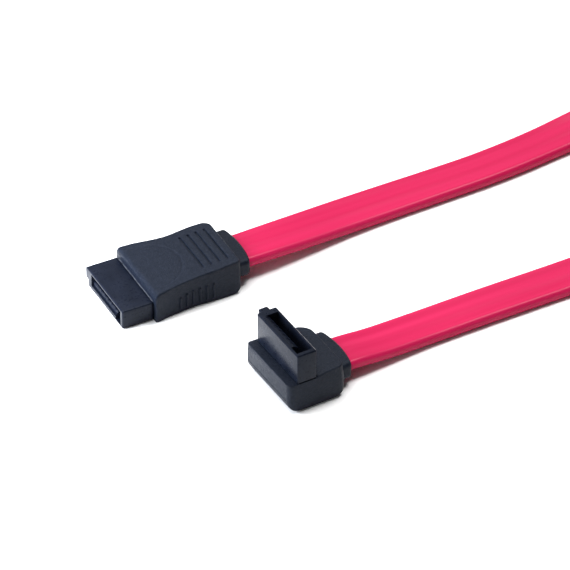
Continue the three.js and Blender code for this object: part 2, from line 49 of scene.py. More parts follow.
# The cable's route from the straight plug to the right-angle plug, in metres:
# x, y, height of its middle, and its turn on to its edge in degrees
ROUTE = [
    (0.0040, 0.0000, 0.00300, 0),
    (0.0076, 0.0000, 0.00300, 0),
    (0.0112, 0.0000, 0.00300, 0),
    (0.0162, 0.00035, 0.00280, 2),
    (0.0222, 0.00105, 0.00230, 4),
    (0.0312, 0.0022, 0.00155, 4),
    (0.0402, 0.00285, 0.00120, 3),
    (0.0492, 0.00325, 0.00108, 1),
    (0.0582, 0.00365, 0.00105, 0),
    (0.0652, 0.0043, 0.00105, 0),
    (0.0718, 0.0052, 0.00105, 0),
    (0.0790, 0.0061, 0.00135, 4),
    (0.0880, 0.0066, 0.00200, 17),
    (0.0980, 0.0056, 0.00300, 38),
    (0.1090, 0.0024, 0.00390, 64),
    (0.1210, -0.0028, 0.00440, 84),
    (0.1295, -0.0070, 0.00480, 90),
    (0.1415, -0.00875, 0.00510, 90),
    (0.1535, -0.0073, 0.00480, 90),
    (0.1645, -0.0026, 0.00430, 90),
    (0.1785, 0.0055, 0.00410, 90),
    (0.1920, 0.0132, 0.00410, 90),
    (0.2055, 0.0170, 0.00410, 90),
    (0.2190, 0.0134, 0.00410, 90),
    (0.2289, 0.0035, 0.00410, 90),
    (0.2325, -0.0100, 0.00410, 90),
    (0.2289, -0.0235, 0.00410, 90),
    (0.2190, -0.0334, 0.00410, 90),
    (0.2055, -0.0370, 0.00410, 90),
    (0.1920, -0.0332, 0.00410, 90),
    (0.1785, -0.0255, 0.00410, 90),
    (0.1645, -0.0174, 0.00430, 90),
    (0.1535, -0.0127, 0.00480, 90),
    (0.1415, -0.01125, 0.00510, 90),
    (0.1275, -0.0132, 0.00470, 88),
    (0.1150, -0.0188, 0.00420, 70),
    (0.1000, -0.0239, 0.00330, 44),
    (0.0855, -0.0270, 0.00225, 20),
    (0.0720, -0.0282, 0.00145, 5),
    (0.0573, -0.0287, 0.00105, 0),
    (0.0420, -0.02915, 0.00110, 0),
    (0.0290, -0.02975, 0.00120, 0),
    (0.0204, -0.0306, 0.00180, 0),
]
ANGLE_PLUG_ROUTE = (0.0132, 0.0105, 0.0079)
ANGLE_PLUG_PLACE = (0.00165, -0.03184)
ANGLE_PLUG_TURN = math.radians(3.1)
ANGLE_PLUG_CABLE_HEIGHT = 0.0025
CABLE_WIDTH = 0.0078
CABLE_THICK = 0.0019

# Camera: fitted to the plugs' edges in the photograph, a square frame
CAMERA_TARGET = Vector((0.015232, -0.008102, 0.0))
CAMERA_DISTANCE = 0.99113
CAMERA_AZIMUTH = math.radians(62.889)
CAMERA_ELEVATION = math.radians(38.256)
SENSOR_WIDTH = 36.0
LENS = 378.95


def add_camera():
    data = bpy.data.cameras.new("camera")
    data.sensor_width = SENSOR_WIDTH
    data.lens = LENS
    data.clip_start = 0.01
    data.clip_end = 20
    camera = bpy.data.objects.new("camera", data)
    scene.collection.objects.link(camera)
    across = math.cos(CAMERA_ELEVATION)
    forward = Vector((
        across * math.cos(CAMERA_AZIMUTH),
        across * math.sin(CAMERA_AZIMUTH),
        -math.sin(CAMERA_ELEVATION),
    ))
    camera.location = CAMERA_TARGET - forward * CAMERA_DISTANCE
    camera.rotation_euler = forward.to_track_quat("-Z", "Y").to_euler()
    scene.camera = camera


add_camera()


# Mesh helpers
def new_object(name, mesh):
    obj = bpy.data.objects.new(name, mesh)
    scene.collection.objects.link(obj)
    return obj


def smooth_by_angle(mesh, degrees):
    mesh.polygons.foreach_set("use_smooth", [True] * len(mesh.polygons))
    mesh.set_sharp_from_angle(angle=math.radians(degrees))
    mesh.update()


def lofted_mesh(name, rings):
    """A closed mesh through rings of points with as many points in each, capped at both ends."""
    rings = np.asarray(rings, float)
    count, side = rings.shape[:2]
    faces = []
    for i in range(count - 1):
        for j in range(side):
            a = i * side + j
            b = i * side + (j + 1) % side
            faces.append((a, b, b + side, a + side))
    last = (count - 1) * side
    faces.append(tuple(reversed(range(side))))
    faces.append(tuple(last + j for j in range(side)))
    mesh = bpy.data.meshes.new(name)
    mesh.from_pydata(rings.reshape(-1, 3).tolist(), [], faces)
    mesh.update()
    return mesh


def baked(obj):
    """The object's mesh with its modifiers applied."""
    bpy.context.view_layer.update()
    evaluated = obj.evaluated_get(bpy.context.evaluated_depsgraph_get())
    mesh = bpy.data.meshes.new_from_object(evaluated)
    old = obj.data
    obj.modifiers.clear()
    obj.data = mesh
    bpy.data.meshes.remove(old)
    return obj


def combine(obj, others, operation):
    """Joins or cuts obj with other closed objects, which are then gone."""
    for other in others:
        modifier = obj.modifiers.new("combine", "BOOLEAN")
        modifier.operation = operation
        modifier.solver = "EXACT"
        modifier.object = other
    baked(obj)
    for other in others:
        bpy.data.objects.remove(other)
    return obj


def smooth_step(low, high, value):
    t = np.clip((value - low) / (high - low), 0, 1)
    return t * t * (3 - 2 * t)


# Closed rounded sections, in millimetres
LEAST_STEP = 0.012


def outward(mesh):
    """The same closed mesh with its faces pointing out."""
    build = bmesh.new()
    build.from_mesh(mesh)
    bmesh.ops.recalc_face_normals(build, faces=build.faces)
    build.to_mesh(mesh)
    build.free()
    return mesh


def curve_through(pairs, at):
    """Values of a smooth curve through (place, value) pairs, in millimetres."""
    places, values = np.array(pairs, float).T
    slopes = np.gradient(values, places)
    k = np.clip(np.searchsorted(places, at) - 1, 0, len(places) - 2)
    gap = places[k + 1] - places[k]
    t = np.clip((at - places[k]) / gap, 0, 1)
    return ((1 + 2 * t) * (1 - t) ** 2 * values[k] + t * (1 - t) ** 2 * gap * slopes[k]
            + t * t * (3 - 2 * t) * values[k + 1] + t * t * (t - 1) * gap * slopes[k + 1])


def draw_in(distance, radius):
    """How far a rounded end of that radius draws in, at a distance from the end."""
    if radius <= 0 or distance >= radius:
        return 0.0
    return radius - math.sqrt(radius ** 2 - (radius - distance) ** 2)


def rounded_places(length, front, rear, between, steps):
    """Places along a body, close together over its rounded ends."""
    angles = np.linspace(0, math.pi / 2, steps)
    ends = [front * (1 - np.cos(angles)), length - rear * (1 - np.cos(angles))]
    places = np.sort(np.concatenate(ends + [np.asarray(between, float), [0, length]]))
    kept = [places[0]]
    for place in places[1:]:
        if place - kept[-1] > LEAST_STEP:
            kept.append(place)
    kept[-1] = length
    return kept


def section(near, far, low, high, top_round, bottom_round, across, up, corner_steps=5):
    """A rounded section in Y and Z, turning from +Y to +Z: points, and which side each is on."""
    across = np.asarray(across, float)
    up = np.asarray(up, float)
    points, sides = [], []

    def straight(name, y0, y1, z0, z1, shares):
        for share in shares:
            points.append((y0 + (y1 - y0) * share, z0 + (z1 - z0) * share))
            sides.append(name)

    def corner(y, z, radius, start):
        for k in range(1, corner_steps):
            angle = math.radians(start + 90 * k / corner_steps)
            points.append((y + radius * math.cos(angle), z + radius * math.sin(angle)))
            sides.append("corner")

    straight("far", far, far, low + bottom_round, high - top_round, up)
    corner(far - top_round, high - top_round, top_round, 0)
    straight("top", far - top_round, near + top_round, high, high, across)
    corner(near + top_round, high - top_round, top_round, 90)
    straight("near", near, near, high - top_round, low + bottom_round, 1 - up[::-1])
    corner(near + bottom_round, low + bottom_round, bottom_round, 180)
    straight("bottom", near + bottom_round, far - bottom_round, low, low, np.linspace(0, 1, 9))
    corner(far - bottom_round, low + bottom_round, bottom_round, 270)
    return np.array(points), np.array(sides)


def box_cutter(name, x0, x1, y0, y1, z0, z1, place=None):
    """A closed box in millimetres, for cutting."""
    mesh = bpy.data.meshes.new(name)
    build = bmesh.new()
    bmesh.ops.create_cube(build, size=1)
    centre = Vector(((x0 + x1) / 2, (y0 + y1) / 2, (z0 + z1) / 2)) * MM
    size = Matrix.Diagonal(((x1 - x0) * MM, (y1 - y0) * MM, (z1 - z0) * MM, 1))
    build.transform(Matrix.Translation(centre) @ size)
    if place is not None:
        build.transform(place)
    build.to_mesh(mesh)
    build.free()
    return new_object(name, mesh)


# The cable's centre line, through the same points as the part's
def route_stops():
    x, y = ANGLE_PLUG_PLACE
    ends = [(
        x + along * math.cos(ANGLE_PLUG_TURN),
        y + along * math.sin(ANGLE_PLUG_TURN),
        ANGLE_PLUG_CABLE_HEIGHT,
        0,
    ) for along in ANGLE_PLUG_ROUTE]
    return np.array(ROUTE + ends, float)


def smooth_route(stops):
    """Points and turns along a centripetal curve through the stops."""
    points = stops[:, :3]
    padded = np.vstack([2 * points[0] - points[1], points, 2 * points[-1] - points[-2]])
    line, turns = [], []
    for k in range(len(points) - 1):
        p0, p1, p2, p3 = padded[k:k + 4]
        gaps = [max(np.linalg.norm(b - a), 1e-9) ** 0.5 for a, b in ((p0, p1), (p1, p2), (p2, p3))]
        start = (p1 - p0) / gaps[0] - (p2 - p0) / (gaps[0] + gaps[1]) + (p2 - p1) / gaps[1]
        end = (p2 - p1) / gaps[1] - (p3 - p1) / (gaps[1] + gaps[2]) + (p3 - p2) / gaps[2]
        start, end = start * gaps[1], end * gaps[1]
        for t in np.arange(SPAN_STEPS) / SPAN_STEPS:
            line.append(p1 + start * t + (3 * (p2 - p1) - 2 * start - end) * t ** 2
                        + (2 * (p1 - p2) + start + end) * t ** 3)
            turns.append(stops[k, 3] * (1 - t) + stops[k + 1, 3] * t)
    line.append(points[-1])
    turns.append(stops[-1, 3])
    return np.array(line), np.array(turns)


def evenly(line, turns, count):
    lengths = np.concatenate([[0], np.cumsum(np.linalg.norm(np.diff(line, axis=0), axis=1))])
    at = np.linspace(0, lengths[-1], count)
    even = np.column_stack([np.interp(at, lengths, line[:, k]) for k in range(3)])
    return even, np.interp(at, lengths, turns), lengths[-1]


SPAN_STEPS = 24
CABLE_RINGS = 460
TURN_BLUR = 9
CABLE_EDGE = 0.82 * MM
CABLE_RIDGE = 0.1 * MM


def cable_section():
    """Half points across the flat cable: rounded edges and two low ridges over its pairs."""
    half = CABLE_WIDTH / 2 - CABLE_EDGE
    flat = np.linspace(half, -half, 21)
    ridge = CABLE_RIDGE * (np.cos(flat / half * math.pi * 2) - 1) / 2
    top = np.column_stack([flat, CABLE_THICK / 2 + ridge])
    arc = np.radians(np.linspace(-90, 90, 13)[1:-1])
    lift = CABLE_THICK / 2
    right = np.column_stack([half + CABLE_EDGE * np.cos(arc), lift * np.sin(arc)])
    left = np.column_stack([-half - CABLE_EDGE * np.cos(arc), -lift * np.sin(arc)])
    bottom = np.column_stack([flat[::-1], -CABLE_THICK / 2 - ridge])
    return np.vstack([right, top, left, bottom])


# The tie round the hank, in millimetres from the middle of its loop
TIE_CENTRE = (141.5, -10.0, 5.1)
TIE_HALF_WIDTH = 1.5
TIE_INNER = (2.45, 4.15)
TIE_THICK = 0.95
TIE_CORNER = 1.9
TIE_STEPS = 240
TIE_EASE = 0.18
TIE_CHANNEL = 0.16
TIE_CHANNEL_SLOPE = 0.1
TIE_RAIL = 0.34
TIE_PITCH = 0.42
TIE_TOOTH = 0.13
TIE_HEAD_HALF_WIDTH = 2.3
TIE_HEAD_FROM = -2.95
TIE_HEAD_TO = -5.9
TIE_HEAD_HALF_HEIGHT = 2.1
TIE_HEAD_ROUND = 0.5
TIE_SLOT = (-1.62, 1.62, -5.45, -4.05, 0.6, 3.0)
TIE_TAIL_FROM = -0.5
TIE_TAIL_TOP = 4.3
TIE_TAIL_STEP = 0.06
TIE_TAIL_TIP = 0.3
TIE_TAIL_TAPER = 0.5
TIE_TAIL_BACK = -5.1
TIE_TAIL_FACE = -4.3
TIE_TAIL_HALF_WIDTH = 1.42
TIE_TAIL_EASE = (0.12, 0.1)


def tie_place(points):
    return [tuple((a + b) * MM for a, b in zip(point, TIE_CENTRE)) for point in points]


def tie_section():
    """Across the strap: places from its middle, and heights over its inner face."""
    half, thick, ease = TIE_HALF_WIDTH, TIE_THICK, TIE_EASE
    rail = half - TIE_RAIL
    floor = rail - TIE_CHANNEL_SLOPE
    return [
        (-half + ease, 0), (half - ease, 0), (half, ease), (half, thick - ease), (half - ease, thick),
        (rail, thick), (floor, thick - TIE_CHANNEL), (-floor, thick - TIE_CHANNEL),
        (-rail, thick), (-half + ease, thick), (-half, thick - ease), (-half, ease),
    ]


def tie_loop():
    """Places and outward directions along the strap's inner face, once round."""
    inner_y, inner_z = TIE_INNER
    radius = TIE_CORNER
    arc = np.radians(np.linspace(0, 90, 10))
    stops = []
    corners = [(1, 1, 0), (-1, 1, 90), (-1, -1, 180), (1, -1, 270)]
    for side_y, side_z, start in corners:
        for turn in arc + math.radians(start):
            out = (math.cos(turn), math.sin(turn))
            middle = (side_y * (inner_y - radius), side_z * (inner_z - radius))
            stops.append((middle[0] + radius * out[0], middle[1] + radius * out[1], *out))
    stops = np.array(stops + [stops[0]])
    lengths = np.concatenate([[0], np.cumsum(np.hypot(*np.diff(stops[:, :2], axis=0).T))])
    at = np.linspace(0, lengths[-1], TIE_STEPS + 1)[:-1]
    return np.column_stack([np.interp(at, lengths, stops[:, k]) for k in range(4)])


def tooth(at):
    """A saw tooth's height at a length along the strap."""
    return TIE_TOOTH * ((at / TIE_PITCH) % 1)


def make_tie_strap():
    places = tie_loop()
    strap = tie_section()
    side = len(strap)
    count = len(places)
    points = [(x, y + height * out_y, z + height * out_z)
              for y, z, out_y, out_z in places for x, height in strap]
    faces = [(i * side + j, i * side + (j + 1) % side,
              (i + 1) % count * side + (j + 1) % side, (i + 1) % count * side + j)
             for i in range(count) for j in range(side)]
    mesh = bpy.data.meshes.new("cable_tie_skin")
    mesh.from_pydata(tie_place(points), [], faces)
    return new_object("cable_tie_skin", outward(mesh))


def make_tie_head():
    """The block that the strap passes through, with a recess where the tail comes out."""
    rings = []
    for at in np.linspace(-TIE_HEAD_HALF_HEIGHT, TIE_HEAD_HALF_HEIGHT, 25):
        pull = draw_in(TIE_HEAD_HALF_HEIGHT - abs(at), TIE_HEAD_ROUND)
        points, _ = section(TIE_HEAD_TO + pull, TIE_HEAD_FROM, -TIE_HEAD_HALF_WIDTH + pull,
                            TIE_HEAD_HALF_WIDTH - pull, TIE_HEAD_ROUND, TIE_HEAD_ROUND,
                            np.linspace(0, 1, 5), np.linspace(0, 1, 5), 6)
        rings.append(tie_place([(x, y, at) for y, x in points]))
    head = new_object("tie_head", outward(lofted_mesh("tie_head", rings)))
    slot = box_cutter("tie_slot", *TIE_SLOT)
    slot.data.transform(Matrix.Translation(Vector(TIE_CENTRE) * MM))
    return combine(head, [slot], "DIFFERENCE")


def make_tie_tail():
    """The strap's toothed end, cut short above the head."""
    rings = []
    ease_x, ease_y = TIE_TAIL_EASE
    for at in np.arange(TIE_TAIL_FROM, TIE_TAIL_TOP, TIE_TAIL_STEP):
        narrowed = TIE_TAIL_TAPER * smooth_step(TIE_TAIL_TOP - TIE_TAIL_TIP, TIE_TAIL_TOP, at)
        half = TIE_TAIL_HALF_WIDTH - narrowed
        back = TIE_TAIL_BACK - tooth(at)
        rings.append(tie_place([(-half + ease_x, back, at), (half - ease_x, back, at),
                                (half, back + ease_y, at), (half, TIE_TAIL_FACE, at),
                                (-half, TIE_TAIL_FACE, at), (-half, back + ease_y, at)]))
    return new_object("tie_tail", outward(lofted_mesh("tie_tail", rings)))


def make_tie():
    tie = make_tie_strap()
    combine(tie, [make_tie_head(), make_tie_tail()], "UNION")
    smooth_by_angle(tie.data, 40)
    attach(tie, "root")
    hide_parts("cable_tie")
    return tie


def make_jacket():
    line, turns = smooth_route(route_stops())
    line, turns, length = evenly(line, turns, CABLE_RINGS)
    kept = TURN_BLUR // 2
    turns[kept:-kept] = np.convolve(turns, np.ones(TURN_BLUR) / TURN_BLUR, "valid")
    tangents = np.gradient(line, axis=0)
    tangents /= np.linalg.norm(tangents, axis=1)[:, None]
    side = np.cross([0, 0, 1], tangents)
    side /= np.linalg.norm(side, axis=1)[:, None]
    up = np.cross(tangents, side)
    angle = np.radians(turns)[:, None]
    across = side * np.cos(angle) + up * np.sin(angle)
    above = up * np.cos(angle) - side * np.sin(angle)
    profile = cable_section()
    rings = [p + np.outer(profile[:, 0], a) + np.outer(profile[:, 1], o)
             for p, a, o in zip(line, across, above)]
    obj = new_object("cable_jacket_skin", lofted_mesh("cable_jacket_skin", rings))
    smooth_by_angle(obj.data, 50)
    along = obj.data.attributes.new("along", "FLOAT", "POINT")
    along.data.foreach_set("value", np.repeat(np.linspace(0, length, CABLE_RINGS), len(profile)))
    across_at = obj.data.attributes.new("across", "FLOAT", "POINT")
    across_at.data.foreach_set("value", np.tile(profile[:, 0], CABLE_RINGS))
    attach(obj, "root")
    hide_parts("cable_jacket")
    return obj


tie = make_tie()
jacket = make_jacket()


# The straight plug's boot, in millimetres from the middle of its underside
BOOT_FRONT = -8.1
BOOT_LENGTH = 16.2
BOOT_MIDDLE = 3.0
BOOT_HALF = 6.3
BOOT_HEIGHT = 6.3
BOOT_NEAR = [(0, 7.5), (2, 7.08), (4, 6.8), (6, 6.56), (8, 6.4), (12, 6.34), (16.2, 6.1)]
BOOT_FAR = [(0, 7.7), (2, 7.3), (4, 6.85), (6, 6.4), (8.5, 6.12), (10.5, 6.24), (12.5, 6.36), (16.2, 6.14)]
BOOT_TOP = [(0, 5.4), (4, 5.69), (8, 5.86), (12, 6.03), (16.2, 6.27)]
BOOT_DRAFT = 0.012
BOOT_FLARE = 0.42
BOOT_FLARE_OVER = (6, 16)
BOOT_FRONT_ROUND = 0.75
BOOT_FRONT_PULL = 0.35
BOOT_NEAR_CORNER = 0.45
BOOT_FAR_CORNER = 1.5
BOOT_REAR_HEEL = 1.7
BOOT_REAR_EDGE = 0.22
BOOT_TOP_ROUND = 0.22
BOOT_FRONT_EXTRA = 0.2
BOOT_FRONT_OVER = (0, 3)
BOOT_BOTTOM_ROUND = 0.22
GROOVES = [10.1, 11.6, 13.1, 14.6]
GROOVE_HALF_LENGTH = 4.45
GROOVE_HALF_WIDTH = 0.2
GROOVE_DEPTH = 0.26
GROOVE_SLOPE = (0.07, 0.05)
GROOVE_END_SLOPE = 0.12
BARS = [4.8, 6.04, 7.28, 8.52, 9.76, 11.0]
BAR_TOPS = [3.06, 3.34, 3.52, 3.6, 3.62, 3.62]
BAR_FOOT = 0.7
BAR_HALF_WIDTH = 0.21
BAR_PROUD = 0.24
BAR_FOOT_SLOPE = 0.1
BAR_TOP_SLOPE = 0.16
RING_CENTRE = (2.3, 0.1)
RING_RADIUS = 5.6
RING_WIDTH = 0.42
RING_DEPTH = 0.085
RING_LINE_SHARE = 0.8
RING_FIELD_SHARE = 0.35
RING_FIELD_EDGE = 0.3
RING_FADE = (0.9, 2.6)
BOOT_TOP_SPAN = 12.4
BOOT_TOP_STEP = 0.12
BOOT_SIDE_SPAN = 5.2
BOOT_SIDE_FINE = [(0, 0.5), (2.2, 3.4)]
BOOT_SIDE_STEPS = (0.07, 0.3)
COLLAR_LENGTH = 3.0
COLLAR_HALF = 5.0
COLLAR_HALF_HEIGHT = 1.7
COLLAR_END_ROUND = 0.5
COLLAR_TOP_ROUND = 0.75
COLLAR_BOTTOM_ROUND = 1.2
COLLAR_BOW = 0.7
COLLAR_START_ROUND = 0.02
COLLAR_INSIDE = 1.2
COLLAR_PULL = 0.8
BEAD_RADIUS = 0.075
BEAD_AHEAD = 0.04
BEAD_HEIGHT = 3.7
BEAD_HALF = 6.3

# The rooms in it for its nose and its inner mould
ROOM_GAP = 0.05
CUT_PAST = 0.5
HOLE_GAP = 0.06
HOLE_OVERLAP = 0.4
STRAIGHT_SEAT = (BOOT_FRONT - CUT_PAST, -6.55, -6.14, 6.14, 0.41, 3.59)
SHELF_FROM = -6.6
SHELF_SIDES = (-4.1, 5.4)
SHELF_HEIGHTS = (0.41, 1.0)


def boot_relief(at, points, sides):
    """Cuts the grip grooves and the faint ring, and raises the side bars, at one place along the boot."""
    y, z = points[:, 0].copy(), points[:, 1].copy()
    top = sides == "top"
    floor, brim = GROOVE_SLOPE
    for groove in GROOVES:
        width = 1 - smooth_step(GROOVE_HALF_WIDTH - floor, GROOVE_HALF_WIDTH + brim, abs(at - groove))
        length = 1 - smooth_step(GROOVE_HALF_LENGTH - GROOVE_END_SLOPE,
                                 GROOVE_HALF_LENGTH + GROOVE_END_SLOPE, np.abs(y))
        z -= GROOVE_DEPTH * width * length * top
    away = np.hypot(at - RING_CENTRE[0], y - RING_CENTRE[1])
    line = np.exp(-((away - RING_RADIUS) / (RING_WIDTH / 2)) ** 2)
    field = 1 - smooth_step(RING_RADIUS - RING_FIELD_EDGE, RING_RADIUS, away)
    fade = smooth_step(*RING_FADE, at)
    z -= RING_DEPTH * (RING_LINE_SHARE * line + RING_FIELD_SHARE * field) * fade * top
    for bar, bar_top in zip(BARS, BAR_TOPS):
        offset = abs(at - bar) / BAR_HALF_WIDTH
        proud = BAR_PROUD * math.sqrt(max(1 - offset ** 2, 0)) if offset < 1 else 0.0
        reach = smooth_step(BAR_FOOT - BAR_FOOT_SLOPE, BAR_FOOT + BAR_FOOT_SLOPE, z)
        reach *= 1 - smooth_step(bar_top - BAR_TOP_SLOPE, bar_top, z)
        y += proud * reach * (sides == "far")
        y -= proud * reach * (sides == "near")
    return np.column_stack([y, z])


def collar_mesh(name, x0, x1, low, high):
    """The boot's neck round the cable, its end bowed in plan."""
    rings = []
    length = x1 - x0
    between = np.linspace(0, length, 6)
    for at in rounded_places(length, COLLAR_START_ROUND, COLLAR_END_ROUND, between, 8):
        pull = draw_in(length - at, COLLAR_END_ROUND)
        half = COLLAR_HALF - pull
        points, _ = section(-half, half, low + COLLAR_PULL * pull, high - COLLAR_PULL * pull,
                            COLLAR_TOP_ROUND, COLLAR_BOTTOM_ROUND,
                            np.linspace(0, 1, 16), np.linspace(0, 1, 4), 8)
        bow = COLLAR_BOW * at / length
        rings.append([((x0 + at - bow * (y / COLLAR_HALF) ** 2) * MM, y * MM, z * MM) for y, z in points])
    return new_object(name, lofted_mesh(name, rings))


def flash_bead():
    """The thin uneven seam left where the boot was moulded over the nose."""
    rings = []
    turns = np.radians(np.arange(0, 360, 45))
    for y in np.linspace(-BEAD_HALF, BEAD_HALF, 120):
        radius = BEAD_RADIUS * (1 + 0.35 * math.sin(2.1 * y + 0.6) * math.sin(5.3 * y))
        x = BOOT_FRONT - BEAD_AHEAD
        z = BEAD_HEIGHT + 0.03 * math.sin(1.3 * y) + 0.02 * math.sin(4.7 * y + 1)
        rings.append([((x + radius * math.cos(t)) * MM, y * MM, (z + radius * math.sin(t)) * MM)
                      for t in turns])
    bead = new_object("straight_boot_seam", outward(lofted_mesh("straight_boot_seam", rings)))
    smooth_by_angle(bead.data, 60)
    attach(bead, "root")
    return bead


def cable_hole(name, x0, x1, middle):
    """The way out for the flat cable, a closed body for cutting."""
    half = CABLE_WIDTH / 2 / MM + HOLE_GAP
    high = CABLE_THICK / 2 / MM + HOLE_GAP
    edge = CABLE_EDGE / MM
    points, _ = section(-half, half, middle - high, middle + high, edge, edge,
                        np.linspace(0, 1, 3), np.linspace(0, 1, 2), 8)
    rings = [[(x * MM, y * MM, z * MM) for y, z in points] for x in (x0, x1)]
    return new_object(name, lofted_mesh(name, rings))


def dense_shares(span, fine, step_fine, step_coarse):
    """Shares of a span in millimetres, with a fine step inside the given stretches."""
    places = [0.0]
    while places[-1] < span:
        here = places[-1]
        step = step_fine if any(low <= here <= high for low, high in fine) else step_coarse
        places.append(here + step)
    places[-1] = span
    return np.array(places) / span


def make_straight_boot():
    # Places close together over the faint ring, the side bars and the grip grooves
    bars = np.array(BARS)[:, None] + np.linspace(-1, 1, 9)[None] * (BAR_HALF_WIDTH + 0.005)
    grooves = np.array(GROOVES)[:, None] + np.linspace(-1, 1, 9)[None] * (GROOVE_HALF_WIDTH + 0.06)
    between = np.concatenate([np.arange(0.9, 8.4, 0.13), np.arange(8.5, 14.6, 0.3),
                              bars.ravel(), grooves.ravel()])
    places = rounded_places(BOOT_LENGTH, BOOT_FRONT_ROUND, BOOT_REAR_HEEL, between, 9)
    across = dense_shares(BOOT_TOP_SPAN, [], BOOT_TOP_STEP, BOOT_TOP_STEP)
    up = dense_shares(BOOT_SIDE_SPAN, BOOT_SIDE_FINE, *BOOT_SIDE_STEPS)
    rings = []
    for at in places:
        to_rear = BOOT_LENGTH - at
        pull = BOOT_FRONT_PULL * draw_in(at, BOOT_FRONT_ROUND)
        near = -curve_through(BOOT_NEAR, at) + pull + draw_in(to_rear, BOOT_NEAR_CORNER)
        far = curve_through(BOOT_FAR, at) - pull - draw_in(to_rear, BOOT_FAR_CORNER)
        low = draw_in(to_rear, BOOT_REAR_HEEL)
        high = curve_through(BOOT_TOP, at) - draw_in(at, BOOT_FRONT_ROUND)
        high -= draw_in(to_rear, BOOT_REAR_EDGE)
        top_round = BOOT_TOP_ROUND + BOOT_FRONT_EXTRA * (1 - smooth_step(*BOOT_FRONT_OVER, at))
        points, sides = section(near, far, low, high, top_round, BOOT_BOTTOM_ROUND, across, up)
        points = boot_relief(at, points, sides)
        flare = BOOT_FLARE * smooth_step(*BOOT_FLARE_OVER, at) / BOOT_HALF
        points[:, 0] *= (1 - BOOT_DRAFT * (points[:, 1] - BOOT_MIDDLE) / BOOT_MIDDLE
                         + flare * (1 - points[:, 1] / BOOT_HEIGHT))
        rings.append([((BOOT_FRONT + at) * MM, y * MM, z * MM) for y, z in points])
    boot = new_object("straight_boot_skin", lofted_mesh("straight_boot_skin", rings))
    rear = BOOT_FRONT + BOOT_LENGTH
    collar = collar_mesh("collar", rear - COLLAR_INSIDE, rear + COLLAR_LENGTH,
                         BOOT_MIDDLE - COLLAR_HALF_HEIGHT, BOOT_MIDDLE + COLLAR_HALF_HEIGHT)
    combine(boot, [collar], "UNION")
    mould_low, mould_high = (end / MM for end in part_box("straight_inner_mould"))
    shelf_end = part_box("straight_housing")[1].x / MM + ROOM_GAP
    cutters = [
        box_cutter("seat", *STRAIGHT_SEAT),
        box_cutter("shelf_room", SHELF_FROM, shelf_end, *SHELF_SIDES, *SHELF_HEIGHTS),
        box_cutter("mould_room", mould_low.x - ROOM_GAP, mould_high.x + ROOM_GAP,
                   mould_low.y - ROOM_GAP, mould_high.y + ROOM_GAP,
                   mould_low.z - ROOM_GAP, mould_high.z + ROOM_GAP),
        cable_hole("hole", mould_high.x - HOLE_OVERLAP, rear + COLLAR_LENGTH + CUT_PAST, BOOT_MIDDLE),
    ]
    combine(boot, cutters, "DIFFERENCE")
    smooth_by_angle(boot.data, 32)
    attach(boot, "root")
    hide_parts("straight_boot")
    return boot


# The right-angle plug's boot, in millimetres along its own cable direction
ANGLE_FRONT = -1.6
ANGLE_LENGTH = 10.4
ANGLE_NEAR = [(0, 6.56), (5.4, 6.56), (10.4, 6.46)]
ANGLE_FAR = [(0, 7.05), (3, 6.86), (6, 6.4), (8.5, 6.0), (10.4, 5.9)]
ANGLE_STEP = 5.2
ANGLE_TOP_FLAT = 5.6
ANGLE_TOP = [(5.2, 5.8), (7.5, 6.08), (10.4, 6.25)]
ANGLE_FRONT_NEAR_CORNER = 1.1
ANGLE_FRONT_FAR_CORNER = 0.6
ANGLE_REAR_NEAR_CORNER = 1.0
ANGLE_REAR_FAR_CORNER = 2.6
ANGLE_TOE = 2.1
ANGLE_HEEL = 1.8
ANGLE_FRONT_EDGE = 0.13
ANGLE_TOP_ROUND = 0.24
ANGLE_BOTTOM_ROUND = 0.45
ANGLE_BULGE = 0.22
ANGLE_BULGE_HEIGHT = 2.5
ANGLE_COLLAR = (1.1, 4.5)
ANGLE_BULGE_REACH = 3.2
ANGLE_BULGE_OVER = (6, 10.4)
ANGLE_HALF = 6.6
ANGLE_EDGE_ROUND = 0.03
ANGLE_ROUND_OVER = (4.8, 6)
ANGLE_STEP_OVER = (-0.02, 0.2)
ANGLE_COLLAR_INSIDE = 2.2
ANGLE_SEAT = (0.35, 3.55, -6.14, 6.14, 4.05, 6.5)
ANGLE_SHELF_ROOM = (0.35, 6.45, -4.1, 5.4, 4.0, 5.05)
ANGLE_MOULD_ROOM = (0.35, 7.45, -4.95, 5.6, 0.95, 4.1)
ANGLE_HOLE_FROM = 7.2
PARTING_HEIGHT = 2.3
PARTING_DEPTH = 0.06
PARTING_HALF_HEIGHT = 0.06
PARTING_HALF_WIDTH = 7
ANGLE_PLACE = Matrix.Translation((*ANGLE_PLUG_PLACE, 0)) @ Matrix.Rotation(ANGLE_PLUG_TURN, 4, "Z")


def angle_top(at):
    rear = curve_through(ANGLE_TOP, max(at, ANGLE_STEP))
    before, after = ANGLE_STEP_OVER
    share = float(smooth_step(ANGLE_STEP + before, ANGLE_STEP + after, at))
    return ANGLE_TOP_FLAT * (1 - share) + rear * share


